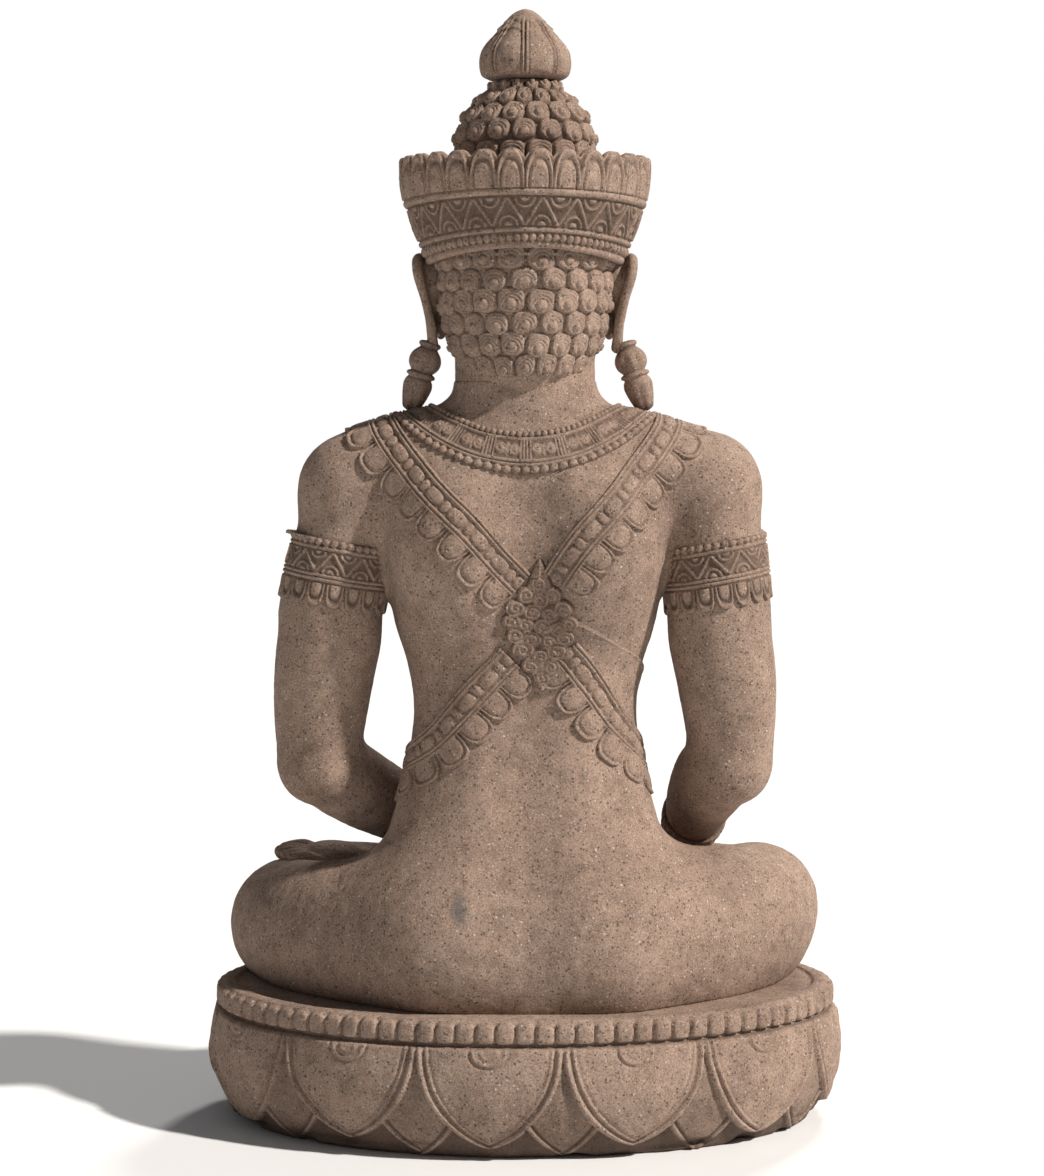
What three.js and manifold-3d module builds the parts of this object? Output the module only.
// A seated stone Buddha on a lotus plinth, about one and a half metres tall.
//
// The figure faces -Y, its left side is +X, and the origin is the centre of the plinth's underside.
// It is pieced together the way heavy carved figures are: each block is carved by itself, stands on
// a thin bed of mortar and is held in line by steel pins.  The joints run where an ornament hides
// them: the arms part under the armlets and bracelets, the neck is a tenon let into the shoulders,
// and the crown is a ring set down over the head.  All sizes are in millimetres.

import * as THREE from "three";
import { LoftGeometry } from "three/addons/geometries/LoftGeometry.js";
import { mergeVertices } from "three/addons/utils/BufferGeometryUtils.js";
import Module from "manifold-3d";

const wasm = await Module();
wasm.setup();

// ---------------------------------------------------------------- driving dimensions

const BED = 4; // mortar bed between two blocks
const GAP = 0.3; // between faces that touch
const PIN_CLEARANCE = 0.6; // resin round a pin, on the radius
const SHY = 0.05; // how far a room stops short of a face that it shares

const PLINTH = {
  halfWidth: 427, // at the foot
  halfDepth: 303,
  height: 183,
  bulge: 7, // how far the wall swells beyond the foot
  rimHeight: 30,
  rimInset: 6, // rim's outside behind the foot's outside
  petals: 14,
  petalRelief: 5,
  petalTurn: 8, // degrees that the petals are turned about Z
};

const SPINE = 60; // y of the line that torso, neck and head stand on
const SEAT_Z = PLINTH.height + BED; // underside of the figure

// Half widths, and how far the shoulders' middle is above the seat.
const BODY = { seatHalf: 226, waistHalf: 152, chestHalf: 196, rise: 671 };
const SHOULDER_Z = SEAT_Z + BODY.rise;

// Reaches are how far the arm's line is outside the chest, and `drop` is shoulder to elbow.
const ARM = { shoulderReach: 50, elbowReach: 87, radius: 66, drop: 392, elbowRadius: 58 };
const SHOULDER_TOP = SHOULDER_Z + ARM.radius + 27;

// The neck's tenon stands in a socket sunk between the shoulders.
const NECK = { half: 95, halfDepth: 90, length: 115, sunk: 66 };
const SOCKET_Z = SHOULDER_TOP - NECK.sunk;
const CHIN_Z = SOCKET_Z + NECK.length;


// `height` is from the chin to the crown's seat, and `crownRise` from there to the bun's seat.
const HEAD = { half: 120, depth: 118, face: 136, height: 166, crownRise: 92 };
const CROWN_SEAT_Z = CHIN_Z + HEAD.height;
const BUN_SEAT_Z = CROWN_SEAT_Z + HEAD.crownRise;

// The ring's overhang is its foot beyond the temples, and its flare is from foot to upper edge.
const CROWN = { wall: 38, overhang: 6, flare: 42, height: 130, petals: 28 };
const CROWN_FOOT = HEAD.half + CROWN.overhang;
const CROWN_TOP = CROWN_FOOT + CROWN.flare;
const CORE = CROWN_FOOT - CROWN.wall; // radius of the head inside the ring

const BUN = { radius: 94, topRadius: 56, height: 136 };
const BUN_TOP_Z = BUN_SEAT_Z + BED + BUN.height;
const BUD = { radius: 62, height: 98, petals: 8 };
const EAR = { thickness: 18, height: 118, depth: 60, splay: 9 };
const EAR_TOP_Z = CROWN_SEAT_Z + 6;
const DROP = { radius: 21, length: 92, lean: 17 };

const SHOULDER_X = BODY.chestHalf + ARM.shoulderReach;
const ELBOW_X = BODY.chestHalf + ARM.elbowReach;
const ELBOW_Z = SHOULDER_Z - ARM.drop;
const ARMLET = { seamDrop: 67, slope: 10, width: 100, relief: 7 };
const WRIST = { radius: 35, rise: 179, setBack: 14 };
const WRIST_Z = SEAT_Z + WRIST.rise;
const BRACELET = { width: 34, relief: 6 };
const LEG = { hipX: 110, kneeX: 328, kneeRadius: 79, kneeY: -62, shinRadius: 60 };
const RIGHT_LEG_LIFT = 14; // the right leg lies on the left one
const SASH = { width: 62, relief: 7 };
const COLLAR = { radius: 160, rise: 79, relief: 8 };

// Each pin's radius and length.
const PIN = {
  plinth: [10, 120],
  neck: [9, 110],
  arm: [8, 120],
  wrist: [6, 70],
  crown: [4, 60],
  ushnisha: [8, 90],
  finial: [7, 84],
  pendant: [3, 34],
};

const STONE = new THREE.MeshStandardMaterial({ color: 0x917a6b, roughness: 0.93, metalness: 0 });
const MORTAR = new THREE.MeshStandardMaterial({ color: 0x8a7d70, roughness: 0.98, metalness: 0 });
const STEEL = new THREE.MeshStandardMaterial({ color: 0xb4b6b8, roughness: 0.38, metalness: 1 });
const LEAD = new THREE.MeshStandardMaterial({ color: 0x6c7076, roughness: 0.6, metalness: 1 });

// ---------------------------------------------------------------- solids

const radians = THREE.MathUtils.degToRad;

// A closed geometry as a solid that can be cut and joined.
function solid(geometry) {
  const bare = new THREE.BufferGeometry();
  bare.setAttribute("position", geometry.getAttribute("position"));
  if (geometry.index) bare.setIndex(geometry.index);
  const merged = mergeVertices(bare, 1e-3);
  const corners = merged.index.array;
  const kept = [];
  for (let i = 0; i < corners.length; i += 3) {
    const [a, b, c] = corners.subarray(i, i + 3);
    if (a !== b && b !== c && c !== a) kept.push(a, b, c);
  }
  const vertProperties = new Float32Array(merged.attributes.position.array);
  return new wasm.Manifold(
    new wasm.Mesh({ numProp: 3, vertProperties, triVerts: new Uint32Array(kept) }),
  );
}

function join(...solids) {
  return solids.reduce((whole, next) => whole.add(next));
}

function cut(whole, ...tools) {
  return tools.reduce((left, tool) => left.subtract(tool), whole);
}

const parts = new THREE.Group();

// Adds a node, without the crumbs that a seam leaves where it grazes another surface.
function part(name, shape, material) {
  const bySize = shape.decompose().sort((a, b) => b.volume() - a.volume());
  const made = bySize[0].getMesh();
  const geometry = new THREE.BufferGeometry();
  geometry.setAttribute("position", new THREE.BufferAttribute(made.vertProperties, 3));
  geometry.setIndex(new THREE.BufferAttribute(made.triVerts, 1));
  geometry.computeVertexNormals();
  const mesh = new THREE.Mesh(geometry, material);
  mesh.name = name;
  parts.add(mesh);
  return shape;
}

// A round solid about a line through `at`, from [radius, height] pairs, first and last on the line.
function turned(profile, { at = [0, 0, 0], along = [0, 0, 1], sides = 28, deep = 1 } = {}) {
  const points = profile.map(([r, h]) => new THREE.Vector2(r, h));
  const geometry = new THREE.LatheGeometry(points, sides);
  geometry.rotateX(Math.PI / 2);
  geometry.scale(1, deep, 1);
  const up = new THREE.Vector3(0, 0, 1);
  const turn = new THREE.Quaternion().setFromUnitVectors(up, new THREE.Vector3(...along).normalize());
  geometry.applyQuaternion(turn);
  geometry.translate(...at);
  return solid(geometry);
}

function rod([radius, length], at, along, extra = 0, sides = 12) {
  const r = radius + extra;
  const h = length / 2 + extra;
  return turned([[0, -h], [r, -h], [r, h], [0, h]], { at, along, sides });
}

function block(size, at, turn = [0, 0, 0]) {
  const geometry = new THREE.BoxGeometry(...size);
  geometry.rotateX(turn[0]);
  geometry.rotateY(turn[1]);
  geometry.rotateZ(turn[2]);
  geometry.translate(...at);
  return solid(geometry);
}

// One oval slice of an upright body: how far it reaches sideways, back and forward at height z.
function slice([z, half, back, front], sides, power = 2.3) {
  const [middle, deep] = [(back + front) / 2, (back - front) / 2];
  const round = (c) => Math.sign(c) * Math.abs(c) ** (2 / power);
  return Array.from({ length: sides }, (_, i) => {
    const a = (2 * Math.PI * i) / sides;
    return new THREE.Vector3(half * round(Math.cos(a)), middle + deep * round(Math.sin(a)), z);
  });
}

function upright(slices, sides = 32, power) {
  const sections = slices.map((s) => slice(s, sides, power));
  return solid(new LoftGeometry(sections, { capStart: true, capEnd: true }));
}

// A limb: a round section of changing radius carried along a smooth line, with rounded ends.
// `stations` are [x, y, z, radius], and `flat` narrows the section along z.
function limb(stations, { steps = 8, sides = 16, flat = 1 } = {}) {
  const line = new THREE.CatmullRomCurve3(stations.map(([x, y, z]) => new THREE.Vector3(x, y, z)));
  const girth = new THREE.CatmullRomCurve3(
    stations.map(([, , , r], i) => new THREE.Vector3(r, i * 100, 0)),
  );
  const frames = line.computeFrenetFrames(steps);
  const ring = (i, shrink, push) => {
    const t = i / steps;
    const r = girth.getPoint(t).x;
    const centre = line.getPoint(t).addScaledVector(frames.tangents[i], push * r);
    return Array.from({ length: sides }, (_, k) => {
      const a = (2 * Math.PI * k) / sides;
      const out = frames.normals[i].clone().multiplyScalar(Math.cos(a) * r * shrink);
      out.addScaledVector(frames.binormals[i], Math.sin(a) * r * shrink);
      out.z *= flat;
      return out.add(centre);
    });
  };
  const cap = [16, 52].map(radians);
  const sections = [
    ...cap.map((a) => ring(0, Math.sin(a), -Math.cos(a))),
    ...Array.from({ length: steps + 1 }, (_, i) => ring(i, 1, 0)),
    ...cap.reverse().map((a) => ring(steps, Math.sin(a), Math.cos(a))),
  ];
  return solid(new LoftGeometry(sections, { capStart: true, capEnd: true }));
}

const mirrored = (side, [x, ...rest]) => [side * x, ...rest];

// ---------------------------------------------------------------- lotus plinth

const ROUND_TO_OVAL = PLINTH.halfDepth / PLINTH.halfWidth;

// The drum's outline from its foot to its rim, `proud` outside the wall itself.
function drumProfile(proud, top) {
  const foot = PLINTH.halfWidth - PLINTH.petalRelief;
  const wallTop = PLINTH.height - PLINTH.rimHeight;
  const rows = 4;
  const wall = Array.from({ length: rows + 1 }, (_, i) => {
    const up = i / rows;
    const swell = PLINTH.bulge * Math.sin(Math.PI * Math.min(1, up * 1.15));
    return [foot + swell - 12 * up ** 6 + proud, wallTop * up];
  });
  return [[0, 0], ...wall, ...top, [0, top.at(-1)[1]]];
}

function rimProfile() {
  const outside = PLINTH.halfWidth - PLINTH.rimInset;
  const [low, high] = [PLINTH.height - PLINTH.rimHeight, PLINTH.height];
  return [[outside - 3, low + 2], [outside, low + 12], [outside - 4, high - 5], [outside - 12, high]];
}

// The outline of one hanging petal, point down, of that width and height.
function petalShape(width, height) {
  const shape = new THREE.Shape();
  shape.moveTo(-width / 2, height);
  shape.bezierCurveTo(-width / 2, height * 0.45, -width * 0.22, height * 0.12, 0, 0);
  shape.bezierCurveTo(width * 0.22, height * 0.12, width / 2, height * 0.45, width / 2, height);
  return shape;
}

// Every petal is the swollen drum seen through a petal-shaped window.
function petals() {
  const top = PLINTH.height - PLINTH.rimHeight;
  const swollen = turned(drumProfile(PLINTH.petalRelief, [[PLINTH.halfWidth - 20, top]]), {
    sides: 42,
    deep: ROUND_TO_OVAL,
  });
  const step = (2 * Math.PI) / PLINTH.petals;
  const windows = Array.from({ length: PLINTH.petals }, (_, i) => {
    const angle = Math.PI / 2 + (i + 0.5) * step - radians(PLINTH.petalTurn);
    const [x, y] = [PLINTH.halfWidth * Math.cos(angle), PLINTH.halfDepth * Math.sin(angle)];
    const facing = Math.atan2(y / PLINTH.halfDepth ** 2, x / PLINTH.halfWidth ** 2);
    const along = Math.hypot(
      PLINTH.halfWidth * Math.sin(angle),
      PLINTH.halfDepth * Math.cos(angle),
    );
    const shape = petalShape(step * along * 0.93, top - 8);
    const depth = 120;
    const window = new THREE.ExtrudeGeometry(shape, { depth, bevelEnabled: false, curveSegments: 3 });
    window.translate(0, 0, -depth / 2);
    window.rotateX(Math.PI / 2);
    window.rotateZ(facing + Math.PI / 2);
    window.translate(x, y, 6);
    return solid(window);
  });
  return join(...windows).intersect(swollen);
}

const plinthPinAt = [[150, 130], [-150, 130], [230, -60], [-230, -60]];

function pinHoles(kind, places, along = [0, 0, 1]) {
  return places.map((at) => rod(PIN[kind], at, along, PIN_CLEARANCE));
}

const plinthJointZ = PLINTH.height + BED / 2;
const plinthPins = plinthPinAt.map(([x, y]) => [x, y, plinthJointZ]);
const drum = turned(drumProfile(0, rimProfile()), { sides: 42, deep: ROUND_TO_OVAL });
part("lotus_plinth", cut(join(drum, petals()), ...pinHoles("plinth", plinthPins)), STONE);

// ---------------------------------------------------------------- seated figure

// Hips, waist, chest and shoulders: [z, half width, back, front], `proud` outside the skin.
function torso(proud = 0, sides = 26) {
  const at = (share) => SEAT_Z + BODY.rise * share;
  const rows = [
    [SEAT_Z - 8, BODY.seatHalf - 36, 164, 128],
    [SEAT_Z + 10, BODY.seatHalf - 18, 178, 137],
    [SEAT_Z + 34, BODY.seatHalf - 3, 189, 144],
    [SEAT_Z + 75, BODY.seatHalf, 192, 145],
    [SEAT_Z + 112, BODY.seatHalf - 6, 186, 140],
    [SEAT_Z + 152, BODY.seatHalf - 20, 171, 130],
    [SEAT_Z + 195, BODY.seatHalf - 38, 151, 122],
    [at(0.362), BODY.waistHalf + 22, 131, 114],
    [at(0.452), BODY.waistHalf + 7, 112, 110],
    [at(0.556), BODY.waistHalf, 104, 112],
    [at(0.660), BODY.waistHalf + 8, 109, 122],
    [at(0.750), BODY.chestHalf - 20, 118, 133],
    [at(0.839), BODY.chestHalf - 5, 124, 138],
    [at(0.921), BODY.chestHalf, 126, 137],
    [at(0.988), BODY.chestHalf, 123, 128],
    [SHOULDER_TOP - 63, BODY.chestHalf - 12, 114, 112],
    [SHOULDER_TOP - 35, BODY.chestHalf - 34, 101, 98],
    [SHOULDER_TOP - 13, NECK.half + 42, 92, 90],
    [SHOULDER_TOP + 5, NECK.half + 12, 82, 82],
  ];
  return upright(
    rows.map(([z, half, back, front]) => [z, half + proud, SPINE + back + proud, SPINE - front - proud]),
    sides,
  );
}

// The top of the shoulders, from one side to the other.
const yoke = (proud = 0) => {
  const across = SHOULDER_X;
  const radius = ARM.radius + 5 + proud;
  const stations = [
    [across, SPINE, SHOULDER_Z, radius],
    [across * 0.45, SPINE + 4, SHOULDER_Z + 16, radius + 6],
    [-across * 0.45, SPINE + 4, SHOULDER_Z + 16, radius + 6],
    [-across, SPINE, SHOULDER_Z, radius],
  ];
  return limb(stations, { steps: 5, sides: 16 });
};

// The arm's line from the shoulder to the elbow, and on to each wrist.
const elbow = [ELBOW_X - 3, SPINE - 15, ELBOW_Z, ARM.elbowRadius];
const upperArm = [
  [SHOULDER_X, SPINE, SHOULDER_Z, ARM.radius + 5],
  [SHOULDER_X + 12, SPINE + 2, SHOULDER_Z - ARM.drop * 0.18, ARM.radius],
  [SHOULDER_X + 20, SPINE + 4, SHOULDER_Z - ARM.drop * 0.36, ARM.radius + 2],
  [SHOULDER_X + 27, SPINE + 4, SHOULDER_Z - ARM.drop * 0.54, ARM.radius + 2],
  [ELBOW_X - 3, SPINE, ELBOW_Z + ARM.drop * 0.27, ARM.radius - 4],
  [ELBOW_X, SPINE - 8, ELBOW_Z + ARM.drop * 0.1, ARM.elbowRadius + 1],
];
const foreArmZ = (ELBOW_Z + WRIST_Z) / 2 - 2;
const foreArm = {
  1: [elbow, [212, -38, foreArmZ, 50], [112, -134, WRIST_Z, WRIST.radius]],
  "-1": [elbow, [255, -42, foreArmZ, 49], [232, -134, WRIST_Z, WRIST.radius]],
};
const leftWrist = foreArm[1].at(-1);

function wholeArm(side, proud = 0) {
  const placed = ([x, y, z, r]) => [side * x, y, z, r + proud];
  const upper = limb([...upperArm, elbow].map(placed), { steps: 8, sides: 14 });
  return join(upper, limb(foreArm[side].map(placed), { steps: 4, sides: 14 }));
}

// A place and a direction on each arm: under the armlet's upper edge, and at the wrist.
const armSeam = (side) => {
  const slope = radians(ARMLET.slope);
  const at = [side * (SHOULDER_X + 11), SPINE + 2, SHOULDER_Z - ARMLET.seamDrop];
  return { at, along: [-side * Math.sin(slope), 0, Math.cos(slope)] };
};
const wristSeam = (side) => {
  const [from, to] = foreArm[side].slice(-2);
  const run = new THREE.Vector3(side * (to[0] - from[0]), to[1] - from[1], to[2] - from[2]);
  run.normalize();
  const at = [side * to[0], to[1], to[2]].map((c, k) => c - WRIST.setBack * run.getComponent(k));
  return { at, along: run.toArray() };
};

// Everything beyond a seam, on the side that `along` points to, from `margin` on.
function beyond({ at, along }, margin = 0) {
  const size = 520;
  const geometry = new THREE.BoxGeometry(size, size, size);
  geometry.translate(0, 0, size / 2 + margin);
  const up = new THREE.Vector3(0, 0, 1);
  const way = new THREE.Vector3(...along);
  geometry.applyQuaternion(new THREE.Quaternion().setFromUnitVectors(up, way));
  geometry.translate(...at);
  return solid(geometry);
}

// What a limb or a body has of the mortar between its two seam faces.
function mortar(whole, { at, along }) {
  const thickness = BED / 2 - GAP;
  const slab = [[0, -thickness], [150, -thickness], [150, thickness], [0, thickness]];
  return whole.intersect(turned(slab, { at, along, sides: 20 }));
}

function band({ at, along }, radius, from, to) {
  const soft = 3;
  const rim = [[0, from], [radius - soft, from], [radius, from + soft], [radius, to - soft]];
  return turned([...rim, [radius - soft, to], [0, to]], { at, along, sides: 20 });
}

const armBand = (side, proud = 0) => {
  const radius = ARM.radius + ARMLET.relief + proud;
  return band(armSeam(side), radius, -ARMLET.width - BED / 2 - proud, -BED / 2);
};
const bracelet = (side, proud = 0) => {
  const radius = WRIST.radius + BRACELET.relief + proud;
  return band(wristSeam(side), radius, -BRACELET.width - BED / 2 - proud, -BED / 2);
};

// From the armlet to the bracelet, ending at `end` from the middle of each seam.
function armBlock(side, proud = 0, end = -BED / 2) {
  const arm = cut(
    wholeArm(side, proud),
    beyond(armSeam(side), end),
    beyond(wristSeam(side), end),
  );
  return join(arm, armBand(side, proud), bracelet(side, proud));
}

// From the hip to the knee, raised by `lift` at the knee.
function thigh(side, lift) {
  const stations = [
    [LEG.hipX, SPINE + 62, SEAT_Z + 85 + lift / 2, LEG.kneeRadius + 14],
    [(LEG.hipX + LEG.kneeX) / 2, (SPINE + 62 + LEG.kneeY) / 2 + 6, SEAT_Z + 75 + lift, LEG.kneeRadius + 6],
    [LEG.kneeX, LEG.kneeY, SEAT_Z + 69 + lift, LEG.kneeRadius],
  ];
  const placed = stations.map(([x, y, z, r]) => [side * x, y, z, r]);
  return limb(placed, { steps: 4, sides: 16, flat: 0.97 });
}

// The left shin lies in front on the plinth, and the right one crosses over it.
const leftShin = [
  [LEG.kneeX - 12, LEG.kneeY - 14, SEAT_Z + 65, LEG.kneeRadius - 8],
  [170, -172, SEAT_Z + 57, LEG.shinRadius],
  [-20, -208, SEAT_Z + 49, LEG.shinRadius - 12],
  [-150, -196, SEAT_Z + 39, LEG.shinRadius - 20],
  [-252, -170, SEAT_Z + 35, 30],
];
const rightShin = [
  [-LEG.kneeX + 12, LEG.kneeY - 14, SEAT_Z + 65 + RIGHT_LEG_LIFT, LEG.kneeRadius - 8],
  [-190, -140, SEAT_Z + 87 + RIGHT_LEG_LIFT, LEG.shinRadius],
  [-40, -160, SEAT_Z + 105 + RIGHT_LEG_LIFT, LEG.shinRadius - 12],
  [92, -140, SEAT_Z + 113 + RIGHT_LEG_LIFT, LEG.shinRadius - 22],
];
// The right foot lies sole up on the left thigh, its toes near the knee.
const rightFoot = [
  [84, -134, SEAT_Z + 135, 36],
  [190, -112, SEAT_Z + 147, 33],
  [272, -92, SEAT_Z + 149, 34],
  [322, -84, SEAT_Z + 149, 19],
];

// The left hand lies palm up in the lap; the right one hangs over the right shin.
const hands = {
  1: [
    [...leftWrist.slice(0, 3), WRIST.radius - 2],
    [52, -162, WRIST_Z - 4, 38],
    [-20, -176, WRIST_Z - 6, 34],
    [-84, -176, WRIST_Z - 4, 16],
  ],
  "-1": [
    [-232, -134, WRIST_Z, WRIST.radius - 2],
    [-229, -186, WRIST_Z - 24, 36],
    [-224, -222, WRIST_Z - 74, 30],
    [-220, -232, WRIST_Z - 130, 15],
  ],
};

function hand(side) {
  const mitt = limb(hands[side], { steps: 4, sides: 12, flat: 0.75 });
  const stub = wholeArm(side).intersect(beyond(wristSeam(side), BED / 2));
  return join(mitt.intersect(beyond(wristSeam(side), BED / 2)), stub);
}

// A flat outline in the x-z plane pushed through the figure from `near` to `far` in y.
function through(shape, near, far) {
  const depth = far - near;
  const geometry = new THREE.ExtrudeGeometry(shape, { depth, bevelEnabled: false, curveSegments: 7 });
  geometry.rotateX(Math.PI / 2);
  geometry.translate(0, far, 0);
  return solid(geometry);
}

// A strap of even width along a bent line of [x, z] points.
function strap(points, width) {
  const line = points.map(([x, z]) => new THREE.Vector2(x, z));
  const offset = (i, side) => {
    const before = line[Math.max(0, i - 1)];
    const after = line[Math.min(line.length - 1, i + 1)];
    const run = after.clone().sub(before).normalize();
    return line[i].clone().add(new THREE.Vector2(-run.y, run.x).multiplyScalar((side * width) / 2));
  };
  const there = line.map((_, i) => offset(i, 1));
  const back = line.map((_, i) => offset(i, -1)).reverse();
  return new THREE.Shape([...there, ...back]);
}

// Two sashes cross on the back and on the chest, each from a shoulder to the other hip.
function sashes() {
  const crossZ = SHOULDER_Z - 148;
  const path = (side) => [
    [side * SHOULDER_X, SHOULDER_Z + 76],
    [0, crossZ],
    [-side * (BODY.waistHalf + 40), crossZ - 290],
  ];
  const straps = [1, -1].map((side) => through(strap(path(side), SASH.width), -300, 400));
  return torso(SASH.relief, 20).intersect(join(...straps));
}

function collar() {
  const shape = new THREE.Shape();
  shape.absarc(0, SHOULDER_TOP + COLLAR.rise, COLLAR.radius, 0, 2 * Math.PI, false);
  const bib = through(shape, -300, 400);
  return join(torso(COLLAR.relief, 20), yoke(COLLAR.relief)).intersect(bib);
}

function neck(proud, low, high) {
  const [half, deep] = [NECK.half + proud, NECK.halfDepth + proud];
  return upright([low, high].map((z) => [z, half, SPINE + deep, SPINE - deep]), 28, 2);
}

const sides = [1, -1];
const legs = join(
  thigh(1, 0),
  thigh(-1, RIGHT_LEG_LIFT),
  limb(leftShin, { steps: 7, sides: 14 }),
  limb(rightShin, { steps: 6, sides: 14 }),
  limb(rightFoot, { steps: 4, sides: 12, flat: 0.72 }),
);
const trunk = join(torso(), yoke(), sashes(), collar(), legs);
const seatSlab = (from, to) => block([1200, 1000, to - from], [0, 0, (from + to) / 2]);

const seats = {
  neck: [1, -1].map((s) => [s * 38, SPINE, SOCKET_Z + BED / 2]),
  crown: [1, -1].map((s) => [s * (CORE + 16), SPINE, CROWN_SEAT_Z + BED / 2]),
  ushnisha: [[0, SPINE, BUN_SEAT_Z + BED / 2]],
  finial: [[0, SPINE, BUN_TOP_Z + BED / 2]],
};
const holesFor = (kind) => pinHoles(kind, seats[kind]);

const leftover = (side) => wholeArm(side).intersect(beyond(armSeam(side), BED / 2));
const armHoles = sides.flatMap((s) => pinHoles("arm", [armSeam(s).at], armSeam(s).along));
const wristHoles = sides.flatMap((s) => pinHoles("wrist", [wristSeam(s).at], wristSeam(s).along));

// Room in the trunk for each arm and its two mortar beds.
const armRoom = sides.map((s) => armBlock(s, GAP, BED / 2 - SHY));
const seated = join(
  cut(trunk, ...armRoom),
  ...sides.map(leftover),
  ...sides.map(hand),
);
part(
  "figure_block",
  cut(
    seated,
    seatSlab(-200, SEAT_Z),
    neck(PIN_CLEARANCE, SOCKET_Z, CHIN_Z + 200),
    ...pinHoles("plinth", plinthPins),
    ...holesFor("neck"),
    ...armHoles,
    ...wristHoles,
  ),
  STONE,
);
const padAt = [[190, 40], [-190, 40], [60, 190], [-60, 190]];
const padRadius = 14;
const pads = (proud) =>
  padAt.map(([x, y]) => {
    const half = BED / 2 - GAP + proud;
    const profile = [[0, -half], [padRadius + proud, -half], [padRadius + proud, half], [0, half]];
    return turned(profile, { at: [x, y, plinthJointZ], sides: 16 });
  });
const bedShape = seated.intersect(seatSlab(PLINTH.height + GAP, SEAT_Z - GAP));
part("plinth_bed", cut(bedShape, ...pads(1), ...pinHoles("plinth", plinthPins)), MORTAR);
pads(0).forEach((pad, i) => part(`lead_pad_${i + 1}`, pad, LEAD));
plinthPins.forEach((at, i) => part(`plinth_pin_${i + 1}`, rod(PIN.plinth, at, [0, 0, 1]), STEEL));

for (const side of sides) {
  const name = side > 0 ? "left" : "right";
  const [shoulderSeam, handSeam] = [armSeam(side), wristSeam(side)];
  const holes = [
    ...pinHoles("arm", [shoulderSeam.at], shoulderSeam.along),
    ...pinHoles("wrist", [handSeam.at], handSeam.along),
  ];
  part(`${name}_arm`, cut(armBlock(side), ...holes), STONE);
  part(`${name}_arm_bed`, cut(mortar(wholeArm(side), shoulderSeam), ...holes), MORTAR);
  part(`${name}_wrist_bed`, cut(mortar(wholeArm(side), handSeam), ...holes), MORTAR);
  part(`${name}_arm_pin`, rod(PIN.arm, shoulderSeam.at, shoulderSeam.along), STEEL);
  part(`${name}_wrist_pin`, rod(PIN.wrist, handSeam.at, handSeam.along), STEEL);
}

// ---------------------------------------------------------------- head

function disc(radius, z, y = SPINE) {
  const half = BED / 2 - GAP;
  return turned([[0, -half], [radius, -half], [radius, half], [0, half]], { at: [0, y, z + BED / 2] });
}

const neckBed = neck(0, SOCKET_Z + GAP, SOCKET_Z + BED - GAP);
part("neck_bed", cut(neckBed, ...holesFor("neck")), MORTAR);
seats.neck.forEach((at, i) => part(`neck_pin_${i + 1}`, rod(PIN.neck, at, [0, 0, 1]), STEEL));

// The head from under the chin to the crown's seat: [z, half width, back, front].
const skull = upright(
  [
    [CHIN_Z - 8, 62, SPINE + 78, SPINE - 92],
    [CHIN_Z + 6, 84, SPINE + 98, SPINE - HEAD.face + 14],
    [CHIN_Z + 30, HEAD.half - 19, SPINE + HEAD.depth - 10, SPINE - HEAD.face + 4],
    [CHIN_Z + 66, HEAD.half - 9, SPINE + HEAD.depth - 3, SPINE - HEAD.face],
    [CHIN_Z + 106, HEAD.half - 2, SPINE + HEAD.depth, SPINE - HEAD.face + 2],
    [CHIN_Z + 142, HEAD.half, SPINE + HEAD.depth, SPINE - HEAD.face + 7],
    [CROWN_SEAT_Z, HEAD.half - 1, SPINE + HEAD.depth - 1, SPINE - HEAD.face + 12],
  ],
  28,
  2.15,
);
const faceY = SPINE - HEAD.face;
const noseLine = [
  [0, faceY + 6, CHIN_Z + 118, 9],
  [0, faceY - 3, CHIN_Z + 92, 11],
  [0, faceY - 7, CHIN_Z + 72, 13],
];
const nose = limb(noseLine, { steps: 3, sides: 10 });
const lips = [0, -12].map((drop) =>
  limb(
    [[-23, faceY + 8, CHIN_Z + 46, 4], [0, faceY + 1, CHIN_Z + 46 + drop / 2, 8],
      [23, faceY + 8, CHIN_Z + 46, 4]],
    { steps: 4, sides: 8 },
  ),
);
const eyelids = sides.map((s) =>
  limb(
    [[s * 22, faceY + 9, CHIN_Z + 104, 6], [s * 45, faceY + 11, CHIN_Z + 106, 10],
      [s * 68, faceY + 25, CHIN_Z + 104, 6]],
    { steps: 4, sides: 8 },
  ),
);

// A long-lobed ear: a thin slab that leans out at its top.
function ear(side) {
  const [h, d] = [EAR.height, EAR.depth];
  const shape = new THREE.Shape();
  shape.moveTo(-d * 0.2, -h);
  shape.quadraticCurveTo(d * 0.05, -h * 1.03, d * 0.16, -h * 0.86);
  shape.quadraticCurveTo(d * 0.2, -h * 0.5, d * 0.52, -h * 0.28);
  shape.quadraticCurveTo(d * 0.6, h * 0.02, d * 0.1, 0);
  shape.quadraticCurveTo(-d * 0.5, -h * 0.02, -d * 0.42, -h * 0.5);
  shape.closePath();
  const geometry = new THREE.ExtrudeGeometry(shape, {
    depth: EAR.thickness - 6,
    bevelThickness: 3,
    bevelSize: 3,
    bevelSegments: 1,
    curveSegments: 5,
  });
  geometry.translate(0, 0, 3 - EAR.thickness / 2);
  geometry.rotateX(Math.PI / 2);
  geometry.rotateZ(Math.PI / 2);
  geometry.rotateY(radians(side * EAR.splay));
  geometry.translate(side * (HEAD.half + 8), SPINE - 6, EAR_TOP_Z - 8);
  return solid(geometry);
}

const coreProfile = [
  [0, CROWN_SEAT_Z - 30],
  [CORE, CROWN_SEAT_Z - 30],
  [CORE - 2, BUN_SEAT_Z],
  [0, BUN_SEAT_Z],
];
const core = turned(coreProfile, { at: [0, SPINE, 0] });

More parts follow.
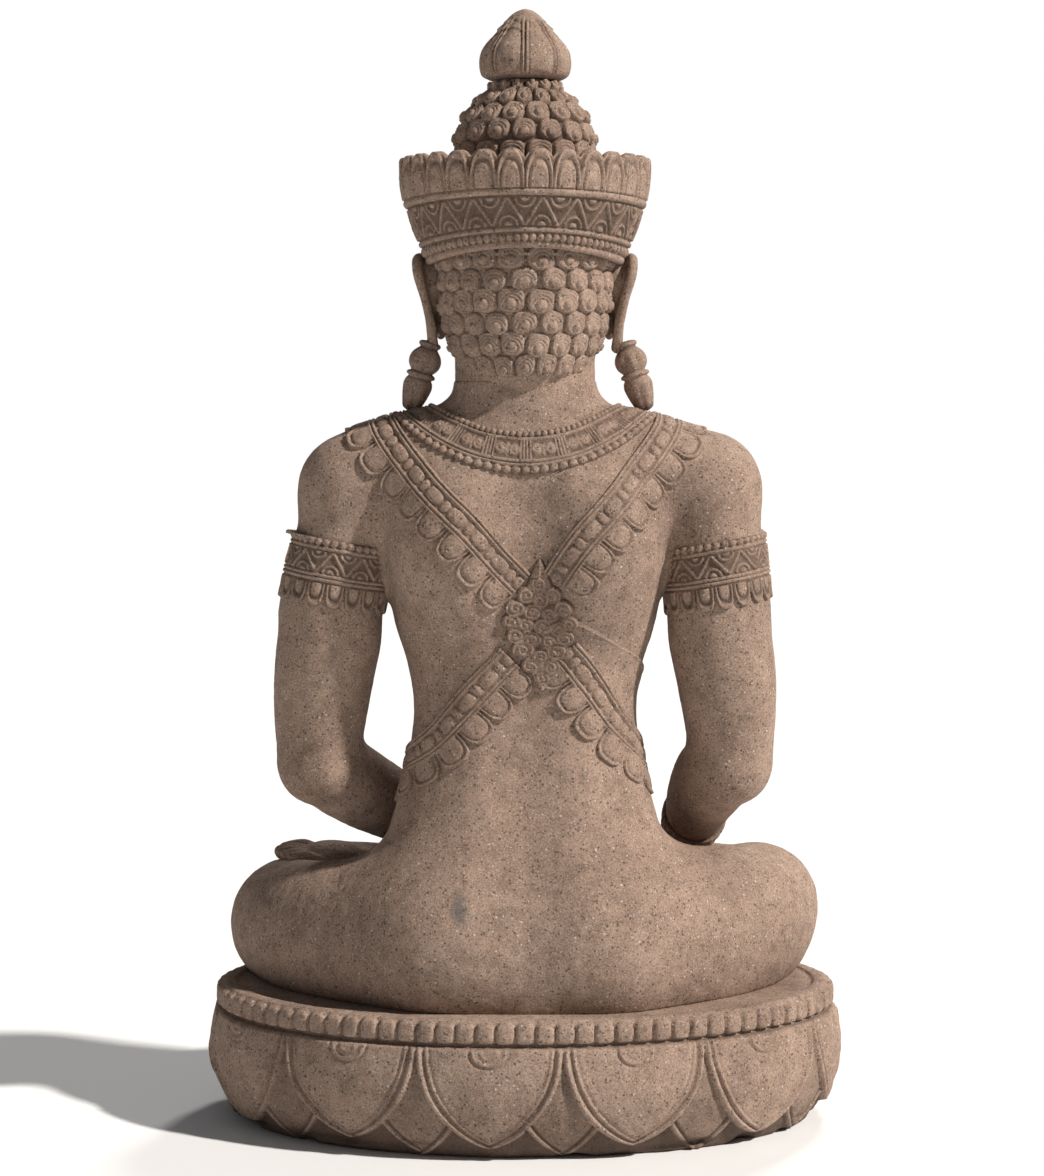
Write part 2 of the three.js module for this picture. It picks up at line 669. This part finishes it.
const pendantAxis = (side) => {
  const lean = radians(DROP.lean);
  return [side * Math.sin(lean), 0, -Math.cos(lean)];
};
const lobeZ = EAR_TOP_Z - EAR.height - 7;
const pendantTop = (side) => [side * (HEAD.half + 7), SPINE - 8, lobeZ];
const pendantHole = (side) => rod(PIN.pendant, pendantTop(side), pendantAxis(side), PIN_CLEARANCE);
const pendantRoom = (side) => {
  const profile = [[0, -BED / 2], [30, -BED / 2], [30, DROP.length], [0, DROP.length]];
  return turned(profile, { at: pendantTop(side), along: pendantAxis(side), sides: 20 });
};

const headShape = join(
  neck(0, SOCKET_Z + BED, CHIN_Z + 30),
  skull,
  core,
  nose,
  ...lips,
  ...eyelids,
  ...sides.map(ear),
);
part(
  "head_block",
  cut(
    headShape,
    ...holesFor("neck"),
    ...holesFor("crown"),
    ...holesFor("ushnisha"),
    ...sides.map(pendantRoom),
    ...sides.map(pendantHole),
  ),
  STONE,
);

// Ring, bead, ring and drop under each ear.
const dropShape = [
  [0, GAP],
  [9, GAP],
  [DROP.radius - 2, 8],
  [DROP.radius, 14],
  [DROP.radius - 2, 20],
  [11, 25],
  [DROP.radius - 5, 33],
  [DROP.radius - 5, 39],
  [11, 45],
  [DROP.radius, 58],
  [DROP.radius - 1, 66],
  [DROP.radius - 8, 80],
  [5, DROP.length - 2],
  [0, DROP.length - 2],
];
for (const side of sides) {
  const name = side > 0 ? "left" : "right";
  const pendant = turned(dropShape, { at: pendantTop(side), along: pendantAxis(side), sides: 12 });
  part(`${name}_ear_pendant`, cut(pendant, pendantHole(side)), STONE);
  part(`${name}_pendant_pin`, rod(PIN.pendant, pendantTop(side), pendantAxis(side)), STEEL);
}

// ---------------------------------------------------------------- crown, bun and bud

const crownFootZ = CROWN_SEAT_Z + BED;
const bore = CORE + PIN_CLEARANCE;

// Outside from the foot up: bead row, wide band, ridge, and petals that open outward.
const ringProfile = [
  [bore, 0],
  [CROWN_FOOT, 0],
  [CROWN_FOOT + 3, 6],
  [CROWN_FOOT + 2, 14],
  [CROWN_FOOT - 2, 20],
  [CROWN_FOOT + 9, 66],
  [CROWN_FOOT + 15, 72],
  [CROWN_FOOT + 20, 82],
  [CROWN_FOOT + 20, 88],
  [CROWN_TOP - 8, CROWN.height - 16],
  [CROWN_TOP, CROWN.height - 2],
  [CROWN_TOP - 3, CROWN.height],
  [CROWN_TOP - 16, CROWN.height - 1],
  [CROWN_FOOT + 4, HEAD.crownRise - 2],
  [bore, BUN_SEAT_Z - crownFootZ - 6],
  [bore, 0],
];

// The notches between the petals along the crown's upper edge.
function crownNotches() {
  const step = (2 * Math.PI) / CROWN.petals;
  const angles = Array.from({ length: CROWN.petals }, (_, i) => step * (i + 0.5));
  const reach = CROWN_TOP - 8;
  return angles.map((a) => {
    const at = [reach * Math.cos(a), SPINE + reach * Math.sin(a), crownFootZ + CROWN.height + 3];
    return block([50, 11, 11], at, [radians(45), 0, a]);
  });
}

const ring = turned(ringProfile, { at: [0, SPINE, crownFootZ], sides: CROWN.petals });
part("crown_ring", cut(ring, ...crownNotches(), ...holesFor("crown")), STONE);
const crownBed = cut(
  disc(CROWN_FOOT - 8, CROWN_SEAT_Z),
  turned([[0, -20], [bore, -20], [bore, 20], [0, 20]], { at: [0, SPINE, CROWN_SEAT_Z] }),
);
part("crown_bed", cut(crownBed, ...holesFor("crown")), MORTAR);
seats.crown.forEach((at, i) => part(`crown_pin_${i + 1}`, rod(PIN.crown, at, [0, 0, 1]), STEEL));

const bunFootZ = BUN_SEAT_Z + BED;
const bunRise = BUN_TOP_Z - bunFootZ;
const bunProfile = [
  [0, 0],
  [BUN.radius - 10, 0],
  [BUN.radius - 3, bunRise * 0.25],
  [BUN.radius, bunRise * 0.45],
  [BUN.radius - 4, bunRise * 0.62],
  [BUN.radius - 14, bunRise * 0.8],
  [BUN.topRadius + 10, bunRise * 0.94],
  [BUN.topRadius, bunRise],
  [0, bunRise],
];
const bun = turned(bunProfile, { at: [0, SPINE, bunFootZ] });
part("ushnisha_bed", cut(disc(BUN.radius - 12, BUN_SEAT_Z), ...holesFor("ushnisha")), MORTAR);
part("ushnisha_pin", rod(PIN.ushnisha, seats.ushnisha[0], [0, 0, 1]), STEEL);
part("ushnisha_block", cut(bun, ...holesFor("ushnisha"), ...holesFor("finial")), STONE);

const budFootZ = BUN_TOP_Z + BED;
const budProfile = [
  [0, 0],
  [42, 0],
  [BUD.radius - 6, 10],
  [BUD.radius, 24],
  [BUD.radius - 4, 38],
  [BUD.radius * 0.66, 60],
  [BUD.radius * 0.34, 80],
  [BUD.radius * 0.13, BUD.height - 4],
  [0, BUD.height],
];
const bud = turned(budProfile, { at: [0, SPINE, budFootZ], sides: BUD.petals * 3 });
part("finial_bed", cut(disc(40, BUN_TOP_Z), ...holesFor("finial")), MORTAR);
part("finial_pin", rod(PIN.finial, seats.finial[0], [0, 0, 1]), STEEL);
part("finial_bud", cut(bud, ...holesFor("finial")), STONE);

export default parts;
